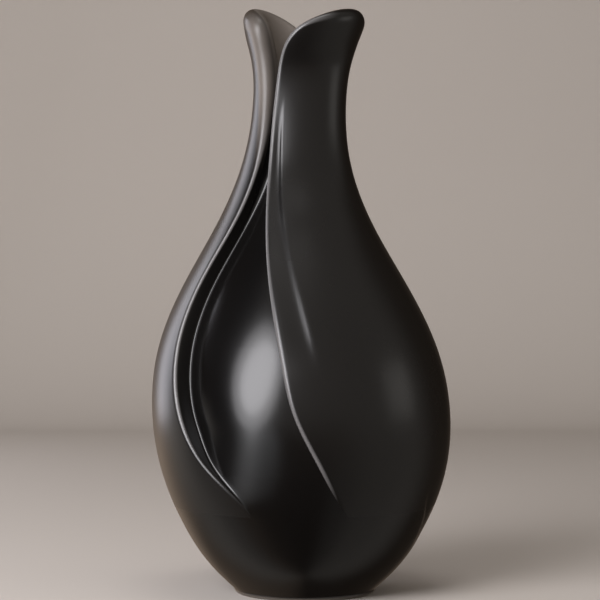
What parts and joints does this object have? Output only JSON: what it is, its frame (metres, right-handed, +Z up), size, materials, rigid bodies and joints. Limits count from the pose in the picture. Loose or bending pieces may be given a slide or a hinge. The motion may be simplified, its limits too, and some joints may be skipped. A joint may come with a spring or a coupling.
{
  "type": "black burnished clay vase",
  "caption": "Teardrop vase of burnished black clay whose two overlapping petals wrap an inner vessel, leave a pointed window at front and back and rise into a split flared mouth.",
  "frame": {"origin": "centre of the flat foot, on the surface that the vase stands on", "axes": "+Z up along the vase, -Y towards the viewer who sees the petals' overlap in front, +X towards the right petal"},
  "size_m": [0.1535, 0.1532, 0.3016],
  "materials": {
    "petal_clay": "stone-burnished reduction-fired black clay, satin sheen",
    "vessel_clay": "stone-burnished outside, matte black and unburnished inside and underneath"
  },
  "bodies": {
    "root": {"floor_disc": "vessel_clay", "lower_bowl": "vessel_clay", "belly_course": "vessel_clay", "shoulder_course": "vessel_clay", "neck_collar": "vessel_clay", "left_petal": "petal_clay", "right_petal": "petal_clay"}
  },
  "joints": []
}
